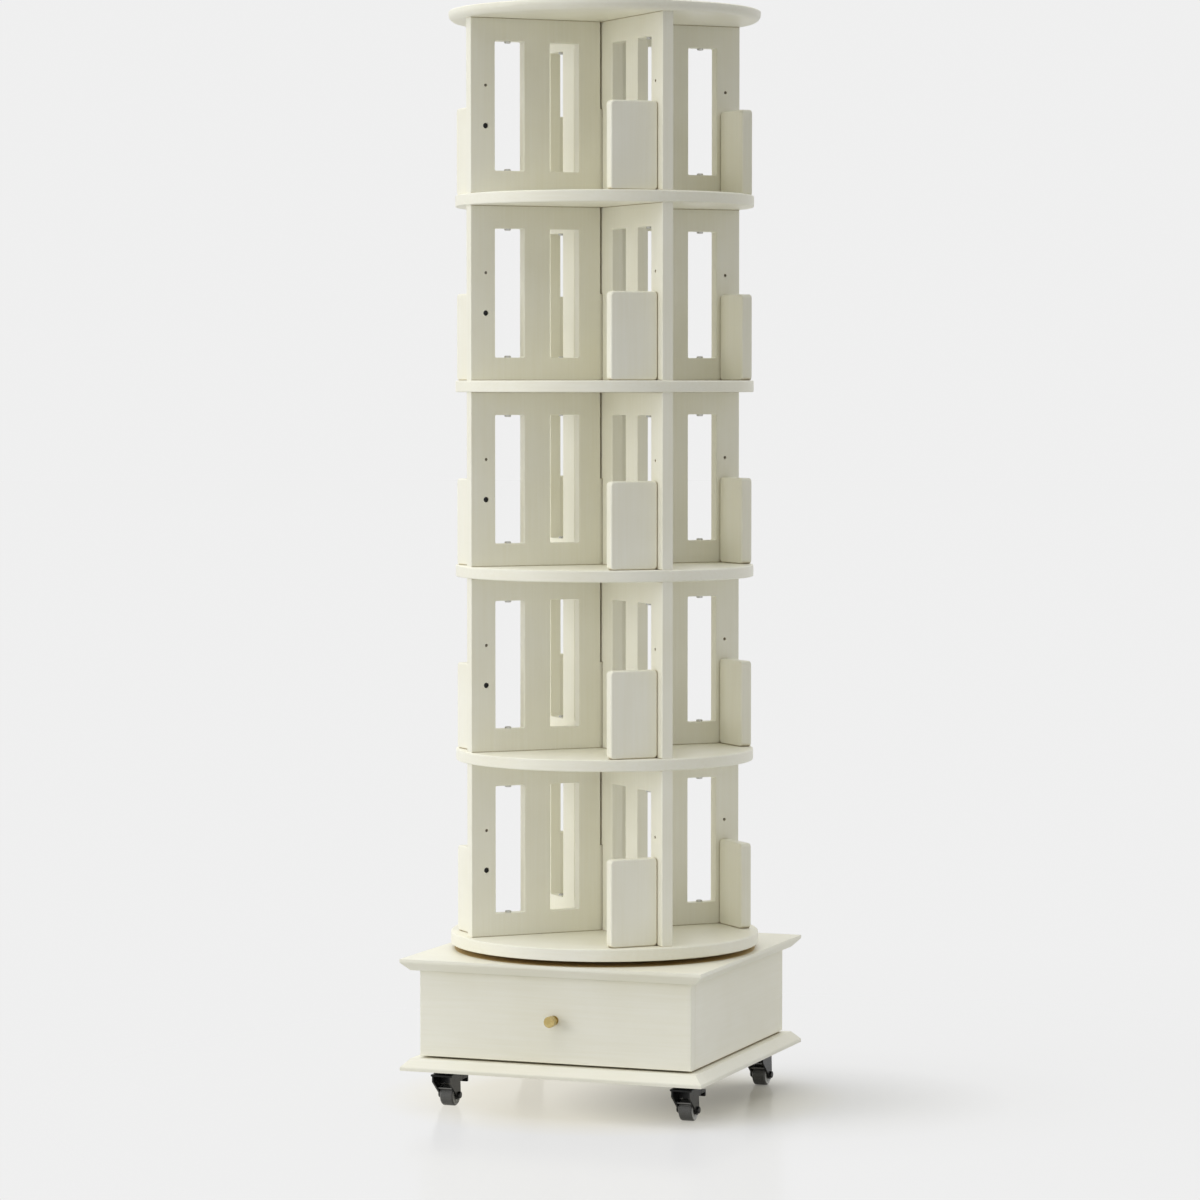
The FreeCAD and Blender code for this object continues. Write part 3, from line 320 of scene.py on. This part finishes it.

# %% [markdown]
# Paint on wood is never one flat colour. The grain swells a little under it, the coat dries in faint clouds,
# and a sprayed film has a fine orange peel that breaks up its shine.
# A picture could be wrapped round each board, but noise in the boards' own space has no seams and no stretch.
# The grain runs the long way of each board, so one recipe is made three times, with its noise drawn out
# along a different axis each time. A fourth one leaves the wood bare below the turntable, where no brush goes:
# the dark line under the disc is brown for that reason. In tight corners and joints the recipe paints shade: it
# asks how much of the sky each spot sees within a few millimetres, and tints what sees little a shaded brown.
# The drawer's front has its own paint, the fifth, without this painted shade.

# %% Ivory paint
IVORY_LIGHT = (0.942, 0.927, 0.812, 1)
IVORY_DEEP = (0.890, 0.867, 0.722, 1)
RAW_WOOD = (0.72, 0.56, 0.27, 1)
# Painted shade for tight corners and joints: its tone, its reach and how strong it is.
CREVICE_SHADE_TONE, CREVICE_REACH = (0.42, 0.33, 0.18, 1), 6 * MM
CREVICE_SHARE, HIDDEN_SKY, OPEN_SKY = 0.7, 0.25, 0.6
GRAIN_STRETCH = {"x": (0.03, 1, 1), "y": (1, 0.03, 1), "z": (1, 1, 0.03)}
BRIM_WIDTH, SEAT_SLACK = 5 * MM, 0.6 * MM
disc_low, disc_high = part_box("turntable_disc")
seat_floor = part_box("base_top")[1].z
SEAT_RADIUS = (disc_high.x - disc_low.x) / 2 - BRIM_WIDTH
SEAT_LEVEL = (seat_floor + disc_low.z) / 2
SEAT_REACH = (disc_low.z - seat_floor) / 2 + SEAT_SLACK


def bare_seat(tree):
    """A share that is 1 on the two faces between base and turntable, and 0 on the rest of both boards."""
    spot = add(tree, "ShaderNodeTexCoord")
    flat = add(tree, "ShaderNodeVectorMath", {1: (1, 1, 0)}, operation="MULTIPLY")
    radius = add(tree, "ShaderNodeVectorMath", operation="LENGTH")
    within = add(tree, "ShaderNodeMath", {1: SEAT_RADIUS}, operation="LESS_THAN")
    axes = add(tree, "ShaderNodeSeparateXYZ")
    between = add(tree, "ShaderNodeMath", {1: SEAT_LEVEL, 2: SEAT_REACH}, operation="COMPARE")
    both = add(tree, "ShaderNodeMath", operation="MULTIPLY")
    tree.links.new(spot.outputs["Object"], flat.inputs[0])
    tree.links.new(flat.outputs["Vector"], radius.inputs[0])
    tree.links.new(radius.outputs["Value"], within.inputs[0])
    tree.links.new(spot.outputs["Object"], axes.inputs[0])
    tree.links.new(axes.outputs["Z"], between.inputs[0])
    tree.links.new(within.outputs[0], both.inputs[0])
    tree.links.new(between.outputs[0], both.inputs[1])
    return both.outputs[0]


def painted_corner_shade(tree, colour):
    """Paint shade into a colour: a brown tint where nearby surfaces hide most of the sky."""
    sky = add(tree, "ShaderNodeAmbientOcclusion", {"Distance": CREVICE_REACH}, samples=6)
    hidden = add(tree, "ShaderNodeMapRange",
                 {"From Min": HIDDEN_SKY, "From Max": OPEN_SKY, "To Min": CREVICE_SHARE, "To Max": 0})
    shaded_colour = add(tree, "ShaderNodeMix", {"B": CREVICE_SHADE_TONE}, data_type="RGBA")
    tree.links.new(sky.outputs["AO"], hidden.inputs["Value"])
    tree.links.new(hidden.outputs["Result"], shaded_colour.inputs["Factor"])
    tree.links.new(colour, shaded_colour.inputs["A"])
    return shaded_colour.outputs["Result"]


def ivory_paint(name, axis, corner_shade=True, over_seat=True):
    material, tree, shader = new_material(f"ivory_paint_{name}")
    grain = stretched_noise(tree, GRAIN_STRETCH[axis], scale=260, detail=6, distortion=0.4)
    clouds = stretched_noise(tree, (1, 1, 1), scale=7, detail=3)
    peel = stretched_noise(tree, (1, 1, 1), scale=1300, detail=1)
    tone = blend_shares(tree, clouds, grain, weight=0.35)
    colour = two_tones(tree, tone, IVORY_DEEP, IVORY_LIGHT)
    # Painted shade in corners and joints, left off the drawer's front.
    if corner_shade:
        colour = painted_corner_shade(tree, colour)
    if not over_seat:
        part = add(tree, "ShaderNodeMix", {"B": RAW_WOOD}, data_type="RGBA")
        tree.links.new(bare_seat(tree), part.inputs["Factor"])
        tree.links.new(colour, part.inputs["A"])
        colour = part.outputs["Result"]
    tree.links.new(colour, shader.inputs["Base Color"])
    tree.links.new(spread(tree, grain, low=0.36, high=0.48), shader.inputs["Roughness"])
    bump(tree, shader, blend_shares(tree, grain, peel, weight=0.3), strength=0.16, depth=0.4 * MM)
    return material


PAINT = {axis: ivory_paint(f"grain_{axis}", axis) for axis in GRAIN_STRETCH}
PAINT["seat"] = ivory_paint("bare_seat", "x", over_seat=False)
# The drawer's front gets no painted corner shade.
PAINT["front"] = ivory_paint("unshaded_front", "x", corner_shade=False)
print("paint:", [material.name for material in PAINT.values()])

# %% [markdown]
# Inside the base nothing is painted. The drawer's box is planed softwood, and its floor is thin plywood.
# Growth rings in a sawn board are bands of early and late wood, which a wave texture draws well.
# The bands are bent by the wave's own distortion, and a stretched noise adds the fine pores between them.

# %% Bare wood
RING_STRETCH = {"x": (0.08, 1, 1), "y": (1, 0.08, 1)}
SAW_TILT = (0.12, 0.09, 0.05)


def bare_wood(name, axis, pale, dark, rings):
    material, tree, shader = new_material(name)
    spot = add(tree, "ShaderNodeTexCoord")
    mapping = add(tree, "ShaderNodeMapping", {"Scale": RING_STRETCH[axis], "Rotation": SAW_TILT})
    wave = add(tree, "ShaderNodeTexWave", {"Scale": rings, "Distortion": 5, "Detail": 3, "Detail Scale": 1.4},
               bands_direction="Z")
    tree.links.new(spot.outputs["Object"], mapping.inputs["Vector"])
    tree.links.new(mapping.outputs["Vector"], wave.inputs["Vector"])
    pores = stretched_noise(tree, RING_STRETCH[axis], scale=700, detail=4)
    share = blend_shares(tree, wave.outputs["Fac"], pores, weight=0.45)
    tree.links.new(two_tones(tree, share, dark, pale, low=0.2, high=0.75), shader.inputs["Base Color"])
    tree.links.new(spread(tree, pores, low=0.55, high=0.72), shader.inputs["Roughness"])
    bump(tree, shader, pores, strength=0.25, depth=0.3 * MM)
    return material


PINE_PALE, PINE_DARK = (0.66, 0.48, 0.28, 1), (0.50, 0.32, 0.16, 1)
PLY_PALE, PLY_DARK = (0.62, 0.47, 0.30, 1), (0.52, 0.37, 0.22, 1)
wood_lengthways = bare_wood("softwood_lengthways", "y", PINE_PALE, PINE_DARK, rings=42)
wood_crossways = bare_wood("softwood_crossways", "x", PINE_PALE, PINE_DARK, rings=42)
plywood = bare_wood("plywood_sheet", "x", PLY_PALE, PLY_DARK, rings=16)
print("wood:", wood_lengthways.name, wood_crossways.name, plywood.name)

# %% [markdown]
# The metals share one recipe: a metallic shader whose shine is broken by fine noise.
# The knob is brass from a lathe, so its noise is drawn out into rings round the knob. Most screws are zinc plated,
# the bearing is bright steel, the fork spacers are grey, and axles and stop screws are blackened.
# One grey could serve all the steel, but its tones tell plating, oxide and bright metal apart.

# %% Metals


def metal(name, colour, shade, rough, scale, stretch=(1, 1, 1)):
    material, tree, shader = new_material(name)
    shader.inputs["Metallic"].default_value = 1
    grit = stretched_noise(tree, stretch, scale=scale, detail=4)
    tree.links.new(two_tones(tree, grit, shade, colour), shader.inputs["Base Color"])
    tree.links.new(spread(tree, grit, *rough), shader.inputs["Roughness"])
    bump(tree, shader, grit, strength=0.08, depth=0.1 * MM)
    return material


brass = metal("lathe_brass", (0.66, 0.53, 0.24, 1), (0.54, 0.42, 0.17, 1), rough=(0.22, 0.36), scale=900,
              stretch=(0.1, 1, 0.1))
zinc = metal("zinc_plate", (0.62, 0.62, 0.60, 1), (0.48, 0.48, 0.47, 1), rough=(0.28, 0.44), scale=800)
grey_steel = metal("grey_steel", (0.24, 0.24, 0.23, 1), (0.17, 0.17, 0.165, 1), rough=(0.34, 0.5), scale=800)
black_oxide = metal("black_oxide", (0.05, 0.05, 0.05, 1), (0.03, 0.03, 0.03, 1), rough=(0.35, 0.5), scale=800)
bright_steel = metal("bright_steel", (0.68, 0.68, 0.68, 1), (0.56, 0.56, 0.57, 1), rough=(0.18, 0.3),
                     scale=700)
print("metals:", brass.name, zinc.name, grey_steel.name, black_oxide.name, bright_steel.name)

# %% [markdown]
# The casters are pressed steel under black enamel, which is a coat of plastic and not a metal to light. Their
# wheels and the bearing's cage are moulded, so all of these share a second recipe: dull, with a fine even texture.
# A flat black would do from afar, but close up the texture tells rubber from nylon and from enamel.

# %% Enamel and plastic


def moulded(name, colour, shade, rough, scale, relief, shine=0.5):
    material, tree, shader = new_material(name)
    shader.inputs["Specular IOR Level"].default_value = shine
    grit = stretched_noise(tree, (1, 1, 1), scale=scale, detail=3)
    tree.links.new(two_tones(tree, grit, shade, colour), shader.inputs["Base Color"])
    tree.links.new(spread(tree, grit, *rough), shader.inputs["Roughness"])
    bump(tree, shader, grit, strength=relief, depth=0.2 * MM)
    return material


enamel = moulded("black_enamel", (0.012, 0.012, 0.012, 1), (0.007, 0.007, 0.007, 1), rough=(0.26, 0.38),
                 scale=600, relief=0.1, shine=0.28)
cage_nylon = moulded("cage_nylon", (0.05, 0.05, 0.05, 1), (0.035, 0.035, 0.035, 1), rough=(0.5, 0.6),
                     scale=900, relief=0.15)
tread_rubber = moulded("tread_rubber", (0.17, 0.17, 0.163, 1), (0.125, 0.125, 0.12, 1), rough=(0.32, 0.46),
                       scale=700, relief=0.2)
# Pale nylon for the hub rings, made paler still as a painted highlight on the wheels' rims.
pale_hub_and_rim_highlight = moulded("pale_hub_and_rim_highlight", (0.74, 0.74, 0.71, 1), (0.64, 0.64, 0.615, 1), rough=(0.36, 0.48),
                    scale=800, relief=0.15)
print("plastics:", enamel.name, cage_nylon.name, tread_rubber.name, pale_hub_and_rim_highlight.name)

# %% [markdown]
# Each CAD node now gets its finish. A node could be dressed by hand, but rules by name stay right
# when the frame is packed again with more tiers or other sizes.

# %% Dress the frame
CORNERS = ("front_left", "front_right", "back_left", "back_right")
FINISHES = {
    "left_side": PAINT["y"], "right_side": PAINT["y"], "drawer_front": PAINT["front"],
    "base_top": PAINT["seat"], "turntable_disc": PAINT["seat"],
    "drawer_left_side": wood_lengthways, "drawer_right_side": wood_lengthways,
    "drawer_left_runner": wood_lengthways, "drawer_right_runner": wood_lengthways,
    "drawer_back": wood_crossways, "drawer_bottom": plywood, "drawer_knob": brass,
    "stop_screws": black_oxide, "ball_cage": cage_nylon, "caster_plates": enamel,
    "bearing_lower_ring": bright_steel, "bearing_upper_ring": bright_steel, "bearing_balls": bright_steel,
}
ENDINGS = (("_fork", enamel), ("_brake", enamel), ("_axle", black_oxide), ("_wheel", tread_rubber),
           ("_screws", zinc), ("_screw", zinc), ("_board", PAINT["z"]), ("_stops", PAINT["z"]))


def finish_of(name):
    if name in FINISHES:
        return FINISHES[name]
    for ending, material in ENDINGS:
        if name.endswith(ending):
            return material
    return PAINT["x"]


for name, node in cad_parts.items():
    for slot in node.material_slots:
        slot.material = finish_of(name)
print("dressed", len(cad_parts), "nodes")

# %% [markdown]
# What is left are small turned parts of the casters. A lathe makes such a part from its outline, and so does
# a full spin about an axis: the outline is a closed loop of a few points, and the ends of the spin are merged.
# A curve with a Screw modifier would turn it too, but a spin in the mesh leaves nothing live for the export.

# %% Turned pieces
RING_STEPS = 48
SHARP_ANGLE = math.radians(35)


def piece_from(bm, name, material, body):
    """Close a bmesh into a finished piece that rides on a body."""
    bmesh.ops.recalc_face_normals(bm, faces=bm.faces[:])
    mesh = bpy.data.meshes.new(name)
    bm.to_mesh(mesh)
    bm.free()
    mesh.materials.append(material)
    for polygon in mesh.polygons:
        polygon.use_smooth = True
    mesh.set_sharp_from_angle(angle=SHARP_ANGLE)
    piece = bpy.data.objects.new(name, mesh)
    scene.collection.objects.link(piece)
    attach(piece, body)
    return piece


def spin_outline(bm, points, axis):
    """Spin a closed outline, given as vectors, all the way round an axis through the origin."""
    corners = [bm.verts.new(point) for point in points]
    sides = [bm.edges.new((corners[k - 1], corners[k])) for k in range(len(corners))]
    bmesh.ops.spin(bm, geom=corners + sides, cent=(0, 0, 0), axis=axis, angle=2 * math.pi, steps=RING_STEPS,
                   use_merge=True)


print("a spin has", RING_STEPS, "steps")

# %% [markdown]
# A caster's wheel is moulded in two colours: a dark tread, and a paler nylon ring pressed into each side,
# with a thin flange over the rim. The flange and the ring's pale tone also make a painted highlight along the rim,
# where a glossy tread would catch the light. Ribs cross its face, as on a moulding that has to stay thin and
# stiff.
# A painted band would look flat from the side, so the ring is a body of its own.
# Each point of the outline is a depth below the wheel's side and a radius, so it fits any width of wheel.

# %% Hub rings
RING_OUTLINE = ((1.45, 6.65), (0.6, 6.65), (0.4, 7.0), (0.6, 7.6), (0.6, 11.3), (0.1, 11.9), (-0.4, 12.5),
                (-0.5, 13.3), (-0.4, 14.0), (-0.05, 14.3), (-0.05, 12.4), (1.45, 12.35))
RIBS = 6
RIB_SIZE = (0.45, 1.1, 3.7)
RIB_DEPTH, RIB_RADIUS = 0.45, 9.4
for corner in CORNERS:
    low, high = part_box(f"{corner}_wheel")
    middle = (low + high) / 2
    half = (high.x - low.x) / 2 / MM
    rings = bmesh.new()
    for side in (-1, 1):
        outline = [Vector((side * (half - depth), 0, radius)) * MM for depth, radius in RING_OUTLINE]
        spin_outline(rings, outline, axis=(1, 0, 0))
        for k in range(RIBS):
            turn = Matrix.Rotation(2 * math.pi * k / RIBS, 4, "X")
            seat = Matrix.Translation(Vector((side * (half - RIB_DEPTH), 0, RIB_RADIUS)) * MM)
            size = Matrix.Diagonal(Vector(RIB_SIZE) * MM).to_4x4()
            bmesh.ops.create_cube(rings, size=1, matrix=turn @ seat @ size)
    bmesh.ops.translate(rings, verts=rings.verts[:], vec=middle)
    piece_from(rings, f"{corner}_hub_rings", pale_hub_and_rim_highlight, f"{corner}_wheel")
print("hub rings on", len(CORNERS), "wheels")

# %% [markdown]
# Between a caster's plate and its fork sits the swivel race, under a flared steel collar that keeps dust out.
# Its outline is spun about the kingpin, ahead of the wheel by the caster's trail. Each point is a radius and
# a height above the floor. A cone would do from afar, but the rolled lip catches the light.

# %% Race collars
WHEEL_TRAIL = 15
COLLAR_OUTLINE = ((15.1, 57.3), (16.4, 57.3), (16.9, 55.6), (17.3, 53.0), (18.4, 51.3), (18.6, 50.5),
                  (18.1, 49.9), (17.2, 50.2), (16.4, 52.0), (15.1, 52.4))
for corner in CORNERS:
    low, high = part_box(f"{corner}_wheel")
    kingpin = Vector(((low.x + high.x) / 2, (low.y + high.y) / 2 - WHEEL_TRAIL * MM, 0))
    collar = bmesh.new()
    spin_outline(collar, [Vector((r, 0, z)) * MM for r, z in COLLAR_OUTLINE], axis=(0, 0, 1))
    bmesh.ops.translate(collar, verts=collar.verts[:], vec=kingpin)
    piece_from(collar, f"{corner}_race_collar", enamel, "base")
print("race collars on", len(CORNERS), "casters")

# %% [markdown]
# A steel spacer ties the two legs of each fork together, just in front of the wheel, and shows as a grey line.
# It is a spool with a collar at each leg, so it is turned like the rings. Each point of its outline is a place
# across the fork and a radius about the spool's own axis. A plain rod would look drawn, not made.

# %% Fork spacers
SPACER_OUTLINE = ((-11.7, 0.7), (-11.7, 2.0), (-10.6, 2.0), (-10.1, 1.55), (10.1, 1.55), (10.6, 2.0),
                  (11.7, 2.0), (11.7, 0.7))
SPACER_AHEAD, SPACER_LEVEL = 14.9, 27.4
for corner in CORNERS:
    low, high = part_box(f"{corner}_wheel")
    middle = Vector(((low.x + high.x) / 2, (low.y + high.y) / 2 - SPACER_AHEAD * MM, SPACER_LEVEL * MM))
    spacer = bmesh.new()
    outline = [Vector((across, 0, radius)) * MM for across, radius in SPACER_OUTLINE]
    spin_outline(spacer, outline, axis=(1, 0, 0))
    bmesh.ops.translate(spacer, verts=spacer.verts[:], vec=middle)
    piece_from(spacer, f"{corner}_fork_spacer", grey_steel, f"{corner}_caster")
print("spacers in", len(CORNERS), "forks")

# %% [markdown]
# The last cell measures the dressed tower's box, since a finish may not change its size.

# %% Measure and finish
low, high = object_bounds()
print("visual box", [round(value, 4) for value in high - low])
